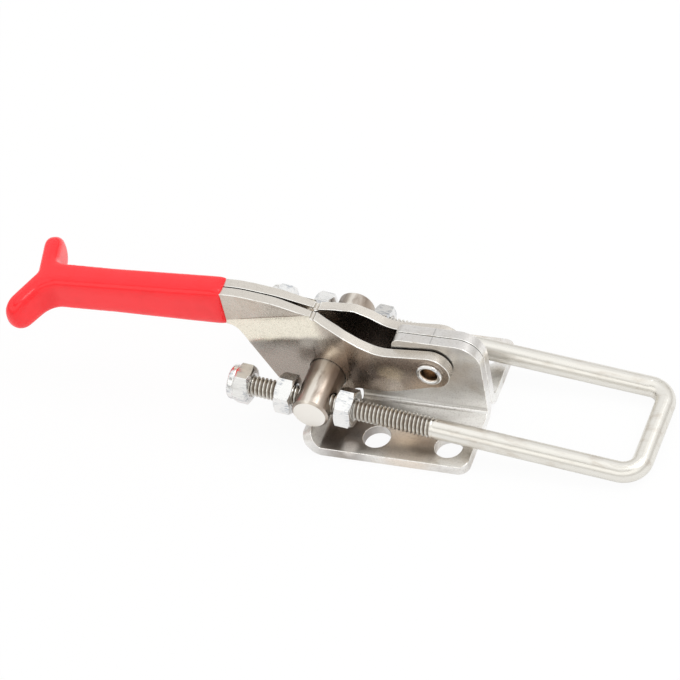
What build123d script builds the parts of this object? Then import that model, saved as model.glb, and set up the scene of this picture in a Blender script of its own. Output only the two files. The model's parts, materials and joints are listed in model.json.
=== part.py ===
from build123d import *
import os
from math import cos, radians, sin, tan

# Over-centre toggle latch, in millimetres.
# Frame: origin at the centre of the four mounting holes, on the underside of the base.
# +X points forward to the loop of the U-bar, +Z up from the mounting face.
# Pieces named "near" lie on the -Y side and their mirror images, named "far", on the +Y side.

# ---- Driving dimensions -------------------------------------------------------------------------

# Sheet stock
BASE_SHEET = 3.4  # thickness of the stamped base halves
HANDLE_SHEET = 3.4  # thickness of the formed handle halves

# Base: flange, bend and mounting holes
HOLE_SPACING_X = 23.0
HOLE_SPACING_Y = 38.0
HOLE_DIAMETER = 8.6
FLANGE_FRONT = 19.2  # front edge, ahead of the hole centre
FLANGE_REAR = 27.0  # start of the rear lip, behind the hole centre
FLANGE_HALF_WIDTH = 26.5
FLANGE_CORNER_RADIUS = 3.4
BASE_BEND_RADIUS = 1.6  # inside radius between ear and flange

# Base: upturned rear lip
LIP_ANGLE = 60.0  # degrees from the flange
LIP_HEIGHT = 4.9  # along the slope, past the bend
LIP_BEND_RADIUS = 1.2
LIP_CORNER_RADIUS = 3.6
LIP_INNER_GAP = 8.5  # from the middle plane to the lip's inner end

# Base: upright ears
EAR_TOP = 30.7
EAR_FRONT_LEAN = 0.9  # how far the ear's front edge leans past the flange's
EAR_FRONT_RADIUS = 7.6
EAR_REAR_TOP_X = -7.2
EAR_REAR_RADIUS = 2.8
EAR_WAIST_X = -10.0
EAR_WAIST_Z = 19.0
WEB_REAR = 20.9  # rear end of the ear's foot, behind the hole centre
WEB_REAR_HEIGHT = 7.5

# Handle pivot
PIVOT_X = 4.6
PIVOT_Z = 22.0
RIVET_DIAMETER = 6.3
RIVET_BORE = 5.0
RIVET_RIM_DIAMETER = 8.1
RIVET_RIM_HEIGHT = 0.95
RIVET_RIM_CHAMFER = 0.4
RIVET_CLEARANCE = 0.08  # radial, in the arms
RIVET_END_PLAY = 0.1  # between each rim and its arm
ARM_SIDE_PLAY = 0.5  # between each ear and its arm

# Trunnion pin and its seats
PIN_BEHIND_PIVOT = 34.5
PIN_BELOW_PIVOT = 7.6
PIN_DIAMETER = 11.6
PIN_LENGTH = 46.6
PIN_CHAMFER = 0.8
PIN_CLEARANCE = 0.25  # radial, in the arms

# U-bar
ROD_DIAMETER = 6.35
LEG_SPACING = 34.2  # between the leg axes
LOOP_REACH = 101.4  # from the pin's axis to the axis of the loop's end
LOOP_TAIL = 27.3  # from the pin's axis back to the ends of the legs
LOOP_SKEW = 1.6  # degrees that the bar lies turned in its loose holes, towards the near side
LOOP_BEND_RADIUS = 6.0  # on the rod's axis
ROD_CLEARANCE = 0.25  # radial, in the pin's cross holes
ROD_END_CHAMFER = 0.6

# Nuts
NUT_WIDTH = 11.11  # across flats
NUT_THICKNESS = 5.3
NUT_THREAD_CLEARANCE = 0.05  # radial, in the threads
FRONT_NUT_GAP = 1.7  # between pin and front nut, along the leg
REAR_NUT_GAP = 0.8  # between pin and rear nut
ROD_END_REACH = 0.35  # of the rod's end, past the lock nut
LOCK_NUT_HEX = 5.0
LOCK_NUT_HEIGHT = 7.1
LOCK_NUT_COLLAR_DIAMETER = 10.8
INSERT_THICKNESS = 1.4
INSERT_WALL = 0.92  # of the plastic ring, outside the rod
LOCK_NUT_LIP = 0.5  # rolled lip that keeps the insert in the collar
LOCK_NUT_COLLAR_CHAMFER = 0.9
FRONT_NUT_TURN = 40.0  # degrees that each nut stands turned about its rod
REAR_NUT_TURN = 32.0
LOCK_NUT_TURN = 4.0

# Handle plates: side outline, measured back and up from the pivot
ARM_END_RADIUS = 6.3
ARM_NECK = (15.5, 4.9)  # slimmest place of the arm, upper edge
ARM_HIP = (26.5, 10.9)  # where the upper edge meets the boss
ARM_HEEL = (13.5, -10.7)  # lower edge of the arm
ARM_THROAT = (25.5, -10.9)
FORK_ROOT = (36.5, 13.9)  # where the two halves part
NECK_TOP = (48.5, 17.7)
SHOULDER = (61.0, 19.5)
TANG_END_TOP = 15.6
TANG_END_BOTTOM = 5.2
TANG_ROOT_BOTTOM = (61.0, 6.6)
BOSS_REAR = 50.0
BOSS_FRONT = 31.0
BOSS_TO_FLANGE = 0.8  # gap between the boss's lower edge and the flange
BOSS_CORNER_RADIUS = 5.5
RELIEF_RADIUS = 0.7  # notch between tang and arm
LOWER_RADII = [9.0, BOSS_CORNER_RADIUS, 5.0, 4.0, 12.0]
UPPER_RADII = [12.0, 14.0, 0.6, 30.0, 40.0]

# Handle plates: forming across the width
BOSS_OFFSET = 2.0  # how far the pin boss stands out from the middle plane
CREASE_DROP = 8.0  # height of the sloped band between tang and boss
CREASE_BELOW_EDGE = -0.3  # upper crease's height at the fork, below the edge
CREASE_SLOPE = 0.23
CREASE_SOFTNESS = 0.3  # share of the band that each crease's bend takes up
ARM_BULGE = 0.4  # extra spread of the arms just ahead of the boss

FORK_SPREAD = 10.5  # run over which the halves part, ahead of the fork

# T end of the handle
T_BEND_BEHIND = 121.0  # where the tang's ends start to bend outwards
T_BEND_RADIUS = 7.5  # on the sheet's middle
T_BEND_ANGLE = 73.0
T_HALF_WIDTH = 16.2
T_TIP_RADIUS = 4.8

# Grip
GRIP_WALL = 1.2
GRIP_START_BEHIND = 65.5
GRIP_EDGE_RADIUS = 2.4
GRIP_TIP_RADIUS = 5.5

# ---- Derived places -----------------------------------------------------------------------------

pin_x = PIVOT_X - PIN_BEHIND_PIVOT
pin_z = PIVOT_Z - PIN_BELOW_PIVOT
pin_radius = PIN_DIAMETER / 2
rod_radius = ROD_DIAMETER / 2
leg_y = LEG_SPACING / 2
ear_face = BASE_SHEET
arm_inner = ear_face + ARM_SIDE_PLAY
arm_outer = arm_inner + HANDLE_SHEET
rivet_radius = RIVET_DIAMETER / 2

# The loop's end rests on the surface that the base stands on.
rod_drop = (pin_z - rod_radius) / LOOP_REACH
rod_cos = (1 - rod_drop**2) ** 0.5
hole_plane = Plane(origin=(pin_x, 0, pin_z), x_dir=(rod_cos, 0, -rod_drop), z_dir=(rod_drop, 0, rod_cos))
rod_plane = hole_plane.rotated((0, 0, -LOOP_SKEW))

bend_outer = BASE_BEND_RADIUS + BASE_SHEET
web_front = FLANGE_FRONT + EAR_FRONT_LEAN


def across_leg(plane, distance, side):
    """Plane across one leg of the bar that lies in plane, ahead of the pin; side is -1 near and 1 far."""
    place = plane.from_local_coords(Vector(distance, side * leg_y, 0))
    return Plane(origin=place, x_dir=plane.y_dir, z_dir=plane.x_dir)


# ---- Base halves --------------------------------------------------------------------------------

with BuildPart() as base_plate_near:
    # Angle section: ear, bend and flange, over the length of the ear's foot
    with BuildSketch(Plane.YZ.offset(-WEB_REAR)):
        with BuildLine():
            Line((0, EAR_TOP), (0, bend_outer))
            RadiusArc((0, bend_outer), (-bend_outer, 0), bend_outer)
            Line((-bend_outer, 0), (-FLANGE_HALF_WIDTH, 0))
            Line((-FLANGE_HALF_WIDTH, 0), (-FLANGE_HALF_WIDTH, BASE_SHEET))
            Line((-FLANGE_HALF_WIDTH, BASE_SHEET), (-bend_outer, BASE_SHEET))
            RadiusArc((-bend_outer, BASE_SHEET), (-BASE_SHEET, bend_outer), -BASE_BEND_RADIUS)
            Line((-BASE_SHEET, bend_outer), (-BASE_SHEET, EAR_TOP))
            Line((-BASE_SHEET, EAR_TOP), (0, EAR_TOP))
        make_face()
    extrude(amount=WEB_REAR + web_front)
    # Side outline of the ear
    with BuildSketch(Plane.XZ.offset(-1)):
        with BuildLine():
            FilletPolyline(
                (-WEB_REAR, -1),
                (-WEB_REAR, WEB_REAR_HEIGHT),
                (EAR_WAIST_X, EAR_WAIST_Z),
                (EAR_REAR_TOP_X, EAR_TOP),
                (web_front, EAR_TOP),
                (FLANGE_FRONT, bend_outer),
                radius=[2.0, EAR_FRONT_RADIUS, EAR_REAR_RADIUS, EAR_FRONT_RADIUS],
            )
            Polyline((FLANGE_FRONT, bend_outer), (FLANGE_FRONT, -1), (-WEB_REAR, -1))
        make_face()
    extrude(amount=FLANGE_HALF_WIDTH + 2, mode=Mode.INTERSECT)
    # Rear run of the flange, clear of the handle's plates
    with BuildSketch(Plane.XY):
        with BuildLine():
            Polyline(
                (-WEB_REAR, -bend_outer),
                (-FLANGE_REAR, -bend_outer),
                (-FLANGE_REAR, -FLANGE_HALF_WIDTH),
                (-WEB_REAR, -FLANGE_HALF_WIDTH),
                (-WEB_REAR, -bend_outer),
            )
        make_face()
    extrude(amount=BASE_SHEET)
    # Upturned lip: bend, then a straight run
    with BuildSketch(Plane.XZ.offset(LIP_INNER_GAP)):
        with BuildLine():
            Line((-FLANGE_REAR, BASE_SHEET), (-FLANGE_REAR, 0))
            lip_under = CenterArc(
                (-FLANGE_REAR, BASE_SHEET + LIP_BEND_RADIUS),
                BASE_SHEET + LIP_BEND_RADIUS,
                -90,
                -LIP_ANGLE,
            )
            lip_back = Line(lip_under @ 1, (lip_under @ 1) + (lip_under % 1) * LIP_HEIGHT)
            lip_edge = Line(
                lip_back @ 1,
                (lip_back @ 1) + Vector(sin(radians(LIP_ANGLE)), cos(radians(LIP_ANGLE))) * BASE_SHEET,
            )
            lip_over = CenterArc(
                (-FLANGE_REAR, BASE_SHEET + LIP_BEND_RADIUS), LIP_BEND_RADIUS, -90, -LIP_ANGLE
            )
            Line(lip_edge @ 1, lip_over @ 1)
        make_face()
    extrude(amount=FLANGE_HALF_WIDTH - LIP_INNER_GAP)
    # Rounded outline corners
    lip_ends = base_plate_near.edges().filter_by(
        lambda e: abs(e.length - BASE_SHEET) < 0.01 and e.center().X < -FLANGE_REAR - LIP_HEIGHT * 0.4
    )
    fillet(lip_ends, radius=LIP_CORNER_RADIUS)
    front_corner = base_plate_near.edges().filter_by(Axis.Z).group_by(Axis.Y)[0].sort_by(Axis.X)[-1]
    fillet(front_corner, radius=FLANGE_CORNER_RADIUS)
    # Mounting holes and the rivet's hole
    with Locations(
        (-HOLE_SPACING_X / 2, -HOLE_SPACING_Y / 2, BASE_SHEET),
        (HOLE_SPACING_X / 2, -HOLE_SPACING_Y / 2, BASE_SHEET),
    ):
        Hole(radius=HOLE_DIAMETER / 2, depth=BASE_SHEET)
    with BuildSketch(Plane.XZ.offset(-1)):
        with Locations((PIVOT_X, PIVOT_Z)):
            Circle(rivet_radius)
    extrude(amount=BASE_SHEET + 2, mode=Mode.SUBTRACT)

with BuildPart() as base_plate_far:
    mirror(base_plate_near.part, about=Plane.XZ)

# ---- Pivot rivet --------------------------------------------------------------------------------

rivet_plane = Plane(origin=(PIVOT_X, 0, PIVOT_Z), x_dir=(1, 0, 0), z_dir=(0, 0, 1))
rim_inner = arm_outer + RIVET_END_PLAY
rim_outer = rim_inner + RIVET_RIM_HEIGHT
rim_radius = RIVET_RIM_DIAMETER / 2
rim_flat = rim_radius - RIVET_RIM_CHAMFER

with BuildPart() as pivot_rivet:
    with BuildSketch(rivet_plane):
        with BuildLine():
            Polyline(
                (RIVET_BORE / 2, rim_outer),
                (rim_flat, rim_outer),
                (rim_radius, rim_outer - RIVET_RIM_CHAMFER),
                (rim_radius, rim_inner),
                (rivet_radius, rim_inner),
                (rivet_radius, -rim_inner),
                (rim_radius, -rim_inner),
                (rim_radius, RIVET_RIM_CHAMFER - rim_outer),
                (rim_flat, -rim_outer),
                (RIVET_BORE / 2, -rim_outer),
                close=True,
            )
        make_face()
    revolve(axis=Axis((PIVOT_X, 0, PIVOT_Z), (0, 1, 0)))

# ---- Handle plates ------------------------------------------------------------------------------

section_top = PIVOT_Z + SHOULDER[1] + 8
section_bottom = -6
t_root_x = PIVOT_X - T_BEND_BEHIND
plate_reach = arm_outer + ARM_BULGE + 2


def from_pivot(point):
    """Side-view place of a point given as its distances behind and above the pivot."""
    behind, above = point
    return (PIVOT_X - behind, PIVOT_Z + above)


def formed_section(behind, above, below):
    """Section across the formed sheet; above and below the sloped band its inner face has these offsets."""
    crease = PIVOT_Z + FORK_ROOT[1] - CREASE_BELOW_EDGE - CREASE_SLOPE * (behind - FORK_ROOT[0])
    band_end = crease - CREASE_DROP
    ease = CREASE_DROP * CREASE_SOFTNESS
    with BuildSketch(Plane.YZ.offset(PIVOT_X - behind)) as section:
        with BuildLine():
            for face in (0, -HANDLE_SHEET):
                high = face - above
                low = face - below
                Line((high, section_top), (high, crease))
                Bezier((high, crease), (high, crease - ease), (low, band_end + ease), (low, band_end))
                Line((low, band_end), (low, section_bottom))
            Line((-above, section_top), (-above - HANDLE_SHEET, section_top))
            Line((-below, section_bottom), (-below - HANDLE_SHEET, section_bottom))
        make_face()
    return section.sketch


# Distance behind the pivot, then the inner face's offset above and below the sloped band
arm_start = FORK_ROOT[0] - FORK_SPREAD
stations = [
    (TANG_ROOT_BOTTOM[0] + 6, 0, 0),
    (TANG_ROOT_BOTTOM[0], 0, BOSS_OFFSET),
    (FORK_ROOT[0] + 0.4, 0, BOSS_OFFSET),
    (arm_start + 4, arm_inner * 0.62, BOSS_OFFSET + 0.7),
    (arm_start, arm_inner, arm_inner),
    (arm_start - 4.5, arm_inner + ARM_BULGE, arm_inner + ARM_BULGE),
    (ARM_NECK[0] - 3, arm_inner, arm_inner),
    (-ARM_END_RADIUS - 2, arm_inner, arm_inner),
]
sections = [formed_section(*station) for station in stations]

boss_bottom = BASE_SHEET + BOSS_TO_FLANGE - PIVOT_Z
lower_outline = [
    (T_BEND_BEHIND, TANG_END_BOTTOM),
    TANG_ROOT_BOTTOM,
    (BOSS_REAR, boss_bottom),
    (BOSS_FRONT, boss_bottom),
    ARM_THROAT,
    ARM_HEEL,
    (0, -ARM_END_RADIUS),
]
upper_outline = [
    (0, ARM_END_RADIUS),
    ARM_NECK,
    ARM_HIP,
    FORK_ROOT,
    NECK_TOP,
    SHOULDER,
    (T_BEND_BEHIND, TANG_END_TOP),
]

with BuildPart() as handle_plate_near:
    # Formed sheet from the tang's root to the arm's end
    loft(sections, ruled=True)
    # Flat tang
    with BuildSketch(Plane.XZ):
        with BuildLine():
            tang_front_x = PIVOT_X - stations[0][0]
            Polyline(
                (t_root_x, section_bottom),
                (tang_front_x, section_bottom),
                (tang_front_x, section_top),
                (t_root_x, section_top),
                close=True,
            )
        make_face()
    extrude(amount=HANDLE_SHEET)
    # Side outline
    with BuildSketch(Plane.XZ):
        with BuildLine():
            lower = FilletPolyline(*map(from_pivot, lower_outline), radius=LOWER_RADII)
            upper = FilletPolyline(*map(from_pivot, upper_outline), radius=UPPER_RADII)
            Line(lower @ 1, upper @ 0)
            Line(upper @ 1, lower @ 0)
        make_face()
        with Locations((PIVOT_X, PIVOT_Z)):
            Circle(ARM_END_RADIUS)
        with Locations(from_pivot(FORK_ROOT)):
            Circle(RELIEF_RADIUS, mode=Mode.SUBTRACT)
    extrude(amount=plate_reach, mode=Mode.INTERSECT)
    # Holes for the rivet and the trunnion pin
    with BuildSketch(Plane.XZ):
        with Locations((PIVOT_X, PIVOT_Z)):
            Circle(rivet_radius + RIVET_CLEARANCE)
        with Locations((pin_x, pin_z)):
            Circle(pin_radius + PIN_CLEARANCE)
    extrude(amount=plate_reach, mode=Mode.SUBTRACT)
    # Half of the T: the tang's end bent outwards, with rounded tip corners
    with BuildLine():
        t_centre = (t_root_x, -HANDLE_SHEET / 2 - T_BEND_RADIUS)
        t_arc = CenterArc(t_centre, T_BEND_RADIUS, 90, T_BEND_ANGLE)
        t_length = (T_HALF_WIDTH + (t_arc @ 1).Y) / abs((t_arc % 1).Y)
        Line(t_arc @ 1, (t_arc @ 1) + (t_arc % 1) * t_length)
    t_middle = PIVOT_Z + (TANG_END_TOP + TANG_END_BOTTOM) / 2
    t_root_plane = Plane(origin=(t_root_x, -HANDLE_SHEET / 2, t_middle), x_dir=(0, 1, 0), z_dir=(-1, 0, 0))
    with BuildSketch(t_root_plane):
        Rectangle(HANDLE_SHEET, TANG_END_TOP - TANG_END_BOTTOM)
    sweep()
    sheet_edges = handle_plate_near.edges().filter_by(lambda e: abs(e.length - HANDLE_SHEET) < 0.01)
    fillet(sheet_edges.sort_by(Axis.Y)[:2], radius=T_TIP_RADIUS)

with BuildPart() as handle_plate_far:
    mirror(handle_plate_near.part, about=Plane.XZ)

# ---- Grip ---------------------------------------------------------------------------------------

grip_front_x = PIVOT_X - GRIP_START_BEHIND
grip_half = HANDLE_SHEET + GRIP_WALL
arm_half = HANDLE_SHEET / 2 + GRIP_WALL
arm_way = t_arc % 1
arm_side = Vector(-arm_way.Y, arm_way.X)
arm_tip = (t_arc @ 1) + arm_way * (t_length + GRIP_WALL)
tip_front = arm_tip + arm_side * arm_half
tip_rear = arm_tip - arm_side * arm_half
crotch = tip_rear - arm_way * (tip_rear.Y / arm_way.Y)


def run_past_tee(front, rear):
    """End of the side-view line from front through rear, drawn on until it is behind the T."""
    t_depth = T_BEND_RADIUS + T_HALF_WIDTH
    return Vector(front) + (Vector(rear) - Vector(front)) * (1 + t_depth / (front[0] - rear[0]))


def runs_across_arm(edge):
    """Whether an edge crosses an arm of the T along the arm's thickness."""
    way = edge.tangent_at(0.5)
    flat_way = Vector(abs(way.X), abs(way.Y))
    return flat_way.length > 0.1 and flat_way.get_angle(Vector(abs(arm_side.X), abs(arm_side.Y))) < 1


def is_rim(edge):
    """Whether an edge of the blank is one that the coating rounds."""
    at_open_end = edge.center().X > grip_front_x - 0.01
    inner_upright = abs(edge.tangent_at(0.5).Z) > 0.99 and abs(edge.center().Y) < T_HALF_WIDTH / 2
    return not (at_open_end or inner_upright or runs_across_arm(edge))


with BuildPart() as grip_sleeve:
    # Plan outline: sleeve, bend and T arm of the near half, mirrored
    with BuildSketch(Plane.XY):
        with BuildLine():
            bend = CenterArc(t_centre, T_BEND_RADIUS - arm_half, 90, T_BEND_ANGLE)
            Polyline(crotch, (grip_front_x, 0), (grip_front_x, -grip_half), bend @ 0)
            Polyline(bend @ 1, tip_front, tip_rear, crotch)
        make_face()
        mirror(about=Plane.XZ)
    extrude(amount=section_top)
    # Side outline
    grip_reach = T_HALF_WIDTH + GRIP_WALL + 1
    with BuildSketch(Plane.XZ.offset(grip_reach)):
        with BuildLine():
            under_front = (grip_front_x, PIVOT_Z + TANG_ROOT_BOTTOM[1] - GRIP_WALL)
            under_rear = (t_root_x, PIVOT_Z + TANG_END_BOTTOM - GRIP_WALL)
            over_rear = (t_root_x, PIVOT_Z + TANG_END_TOP + GRIP_WALL)
            over_front = (grip_front_x, PIVOT_Z + SHOULDER[1] + GRIP_WALL)
            grip_under = Line(under_front, run_past_tee(under_front, under_rear))
            grip_over = Line(over_front, run_past_tee(over_front, over_rear))
            Line(under_front, over_front)
            Line(grip_under @ 1, grip_over @ 1)
        make_face()
    extrude(amount=-2 * grip_reach, mode=Mode.INTERSECT)
    # Rounded tips of the T
    fillet(grip_sleeve.edges().filter_by(runs_across_arm), radius=GRIP_TIP_RADIUS)
    # Dipped coating: soft edges all round, apart from the open end
    fillet(grip_sleeve.edges().filter_by(is_rim), radius=GRIP_EDGE_RADIUS)
    add(handle_plate_near.part, mode=Mode.SUBTRACT)
    add(handle_plate_far.part, mode=Mode.SUBTRACT)

# ---- Trunnion pin -------------------------------------------------------------------------------

with BuildPart() as trunnion_pin:
    with BuildSketch(Plane.XZ.offset(-PIN_LENGTH / 2)):
        with Locations((pin_x, pin_z)):
            Circle(pin_radius)
    extrude(amount=PIN_LENGTH)
    chamfer(trunnion_pin.edges().filter_by(GeomType.CIRCLE), length=PIN_CHAMFER)
    # Cross holes for the legs of the U-bar
    for side in (-1, 1):
        with BuildSketch(across_leg(hole_plane, -PIN_DIAMETER, side)):
            Circle(rod_radius + ROD_CLEARANCE)
        extrude(amount=2 * PIN_DIAMETER, mode=Mode.SUBTRACT)

# ---- U-bar --------------------------------------------------------------------------------------

with BuildPart() as u_bar:
    with BuildLine(rod_plane):
        FilletPolyline(
            (-LOOP_TAIL, -leg_y),
            (LOOP_REACH, -leg_y),
            (LOOP_REACH, leg_y),
            (-LOOP_TAIL, leg_y),
            radius=LOOP_BEND_RADIUS,
        )
    with BuildSketch(across_leg(rod_plane, -LOOP_TAIL, -1)):
        Circle(rod_radius)
    sweep()
    rod_ends = u_bar.edges().filter_by(GeomType.CIRCLE).sort_by(Axis.X)
    chamfer(rod_ends[:2], length=ROD_END_CHAMFER)

# ---- Nuts ---------------------------------------------------------------------------------------

nut_corner = NUT_WIDTH / 2 / cos(radians(30))
nut_bevel = (nut_corner - NUT_WIDTH / 2) * tan(radians(30))
nut_bore = rod_radius + NUT_THREAD_CLEARANCE
lock_nut_start = ROD_END_REACH - LOOP_TAIL
insert_radius = rod_radius + INSERT_WALL
collar_radius = LOCK_NUT_COLLAR_DIAMETER / 2
collar_length = LOCK_NUT_HEIGHT - LOCK_NUT_HEX

pieces = {
    "base_plate_near": base_plate_near,
    "base_plate_far": base_plate_far,
    "pivot_rivet": pivot_rivet,
    "handle_plate_near": handle_plate_near,
    "handle_plate_far": handle_plate_far,
    "grip_sleeve": grip_sleeve,
    "trunnion_pin": trunnion_pin,
    "u_bar": u_bar,
}

for label, side in (("near", -1), ("far", 1)):
    # Plain hexagon nuts on both sides of the pin, bevelled at both faces
    crossing = -side * leg_y * tan(radians(LOOP_SKEW))
    front_nut_start = crossing + pin_radius + FRONT_NUT_GAP
    rear_nut_start = crossing - pin_radius - REAR_NUT_GAP - NUT_THICKNESS
    places = (("front", front_nut_start, FRONT_NUT_TURN), ("rear", rear_nut_start, REAR_NUT_TURN))
    for place, start, turn in places:
        nut_plane = across_leg(rod_plane, start, side)
        with BuildPart() as hex_nut:
            with BuildSketch(nut_plane):
                RegularPolygon(radius=NUT_WIDTH / 2, side_count=6, major_radius=False, rotation=side * turn)
                Circle(nut_bore, mode=Mode.SUBTRACT)
            extrude(amount=NUT_THICKNESS)
            with BuildSketch(Plane(origin=nut_plane.origin, x_dir=nut_plane.x_dir, z_dir=-nut_plane.y_dir)):
                with BuildLine():
                    Polyline(
                        (0, 0),
                        (NUT_WIDTH / 2, 0),
                        (nut_corner, nut_bevel),
                        (nut_corner, NUT_THICKNESS - nut_bevel),
                        (NUT_WIDTH / 2, NUT_THICKNESS),
                        (0, NUT_THICKNESS),
                        close=True,
                    )
                make_face()
            revolve(axis=Axis(nut_plane.origin, nut_plane.z_dir), mode=Mode.INTERSECT)
        pieces[f"{place}_nut_{label}"] = hex_nut

    # Lock nut: hexagon ahead, domed collar behind
    nut_plane = across_leg(rod_plane, lock_nut_start, side)
    profile_plane = Plane(origin=nut_plane.origin, x_dir=nut_plane.x_dir, z_dir=-nut_plane.y_dir)
    nut_axis = Axis(nut_plane.origin, nut_plane.z_dir)
    with BuildPart() as lock_nut:
        with BuildSketch(nut_plane.offset(collar_length)):
            RegularPolygon(NUT_WIDTH / 2, side_count=6, major_radius=False, rotation=side * LOCK_NUT_TURN)
        extrude(amount=LOCK_NUT_HEX)
        with BuildSketch(profile_plane):
            with BuildLine():
                Polyline(
                    (0, collar_length),
                    (NUT_WIDTH / 2, collar_length),
                    (nut_corner, collar_length + nut_bevel),
                    (nut_corner, LOCK_NUT_HEIGHT - nut_bevel),
                    (NUT_WIDTH / 2, LOCK_NUT_HEIGHT),
                    (0, LOCK_NUT_HEIGHT),
                    close=True,
                )
            make_face()
        revolve(axis=nut_axis, mode=Mode.INTERSECT)
        with BuildSketch(profile_plane):
            with BuildLine():
                Polyline(
                    (nut_bore, collar_length),
                    (collar_radius, collar_length),
                    (collar_radius, LOCK_NUT_COLLAR_CHAMFER),
                    (collar_radius - LOCK_NUT_COLLAR_CHAMFER, 0),
                    (nut_bore, 0),
                    close=True,
                )
            make_face()
        revolve(axis=nut_axis)
        # Bore, and the groove that holds the nylon insert behind the rolled lip
        with BuildSketch(profile_plane):
            with BuildLine():
                Polyline(
                    (0, 0),
                    (insert_radius - LOCK_NUT_LIP, 0),
                    (insert_radius - LOCK_NUT_LIP, LOCK_NUT_LIP),
                    (insert_radius, LOCK_NUT_LIP),
                    (insert_radius, LOCK_NUT_LIP + INSERT_THICKNESS),
                    (nut_bore, LOCK_NUT_LIP + INSERT_THICKNESS),
                    (nut_bore, LOCK_NUT_HEIGHT),
                    (0, LOCK_NUT_HEIGHT),
                    close=True,
                )
            make_face()
        revolve(axis=nut_axis, mode=Mode.SUBTRACT)
    pieces[f"lock_nut_{label}"] = lock_nut

    with BuildPart() as lock_nut_insert:
        with BuildSketch(nut_plane.offset(LOCK_NUT_LIP)):
            Circle(insert_radius)
            Circle(rod_radius, mode=Mode.SUBTRACT)
        extrude(amount=INSERT_THICKNESS)
    pieces[f"lock_nut_insert_{label}"] = lock_nut_insert

# ---- Write the pieces ---------------------------------------------------------------------------

os.makedirs("parts", exist_ok=True)
for name, piece in pieces.items():
    piece.part.label = name
    export_step(piece.part, f"parts/{name}.step")
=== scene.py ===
"""Over-centre toggle latch with a tee grip and a threaded U-bar, dressed for the studio.

Each sub-assembly of the latch is a class that holds its sizes, builds its meshes and dresses them.
Sizes are in millimetres unless a name says otherwise, and meshes are scaled to metres when they are placed.
A Range is the pair of values between which something rises from nothing to its full share.
"""

from __future__ import annotations

import json
import logging
import math
from abc import ABC, abstractmethod
from dataclasses import dataclass
from enum import Enum
from typing import Callable, Iterable, Sequence

import bmesh
import bpy
from mathutils import Matrix, Vector
from mathutils.bvhtree import BVHTree

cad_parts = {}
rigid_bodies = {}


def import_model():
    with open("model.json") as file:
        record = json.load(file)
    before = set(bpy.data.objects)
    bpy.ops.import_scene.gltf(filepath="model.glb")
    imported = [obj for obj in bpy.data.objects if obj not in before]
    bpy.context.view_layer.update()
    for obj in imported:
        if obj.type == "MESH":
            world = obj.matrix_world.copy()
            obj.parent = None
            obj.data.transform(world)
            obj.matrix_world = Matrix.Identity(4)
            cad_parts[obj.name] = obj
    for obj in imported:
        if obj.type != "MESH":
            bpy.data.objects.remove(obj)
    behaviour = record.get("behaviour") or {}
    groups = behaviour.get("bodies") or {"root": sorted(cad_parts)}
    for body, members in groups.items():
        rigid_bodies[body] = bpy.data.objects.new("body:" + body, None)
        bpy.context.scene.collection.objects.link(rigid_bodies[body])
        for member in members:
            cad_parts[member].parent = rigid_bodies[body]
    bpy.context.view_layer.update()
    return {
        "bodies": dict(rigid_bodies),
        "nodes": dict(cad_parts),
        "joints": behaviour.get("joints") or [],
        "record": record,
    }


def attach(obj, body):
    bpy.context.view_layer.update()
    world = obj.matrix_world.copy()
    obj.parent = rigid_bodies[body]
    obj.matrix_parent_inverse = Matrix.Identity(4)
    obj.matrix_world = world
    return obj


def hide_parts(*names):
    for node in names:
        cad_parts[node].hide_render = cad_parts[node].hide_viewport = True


LOG = logging.getLogger("toggle_latch")
MM = 0.001
# Distances in millimetres within which vertices are merged.
WELD = 0.002
FINE_WELD = 0.0005
Colour = tuple[float, float, float]
Triple = tuple[float, float, float]
Range = tuple[float, float]
Sockets = dict[str | int, object]
Shape = bmesh.types.BMesh
Ring = list[bmesh.types.BMEdge]
Piece = bpy.types.Object
Material = bpy.types.Material
PIVOT: Triple = (4.6, 0.0, 22.0)


class Side(Enum):
    """The two sides of the latch, with the sign of their Y coordinate."""

    NEAR = -1
    FAR = 1

    @property
    def label(self) -> str:
        """The word used in the names of the pieces."""
        return self.name.lower()


# ---- Shader maths ----------------------------------------------------------------


@dataclass(frozen=True)
class Grain:
    """A noise pattern: the size of its features, the octaves and share of finer noise, and its warp."""

    cell: float
    detail: float = 2.0
    roughness: float = 0.5
    warp: float = 0.0


class Wire:
    """An output socket that takes part in Python arithmetic; each operation adds a Math node."""

    def __init__(self, board: Board, socket: bpy.types.NodeSocket) -> None:
        """Wraps an output socket of a board."""
        self.board = board
        self.socket = socket

    def _maths(self, operation: str, *values: Wire | float) -> Wire:
        """The result of one Math node, its inputs in order."""
        return self.board.add("ShaderNodeMath", {"operation": operation}, dict(enumerate(values)))

    def __add__(self, other: Wire | float) -> Wire:
        """Sum."""
        return self._maths("ADD", self, other)

    __radd__ = __add__

    def __sub__(self, other: Wire | float) -> Wire:
        """Difference."""
        return self._maths("SUBTRACT", self, other)

    def __rsub__(self, other: float) -> Wire:
        """Difference from a plain number."""
        return self._maths("SUBTRACT", other, self)

    def __mul__(self, other: Wire | float) -> Wire:
        """Product."""
        return self._maths("MULTIPLY", self, other)

    __rmul__ = __mul__

    def __pow__(self, other: Wire | float) -> Wire:
        """Power."""
        return self._maths("POWER", self, other)

    def at_most(self, other: Wire | float) -> Wire:
        """The smaller of the two."""
        return self._maths("MINIMUM", self, other)

    def size(self) -> Wire:
        """The value without its sign."""
        return self._maths("ABSOLUTE", self)

    def step(self, low: float, high: float) -> Wire:
        """A smooth rise from 0 where the value is low to 1 where it is high."""
        sockets = {"Value": self, "From Min": low, "From Max": high}
        return self.board.add("ShaderNodeMapRange", {"interpolation_type": "SMOOTHSTEP"}, sockets, "Result")


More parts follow.
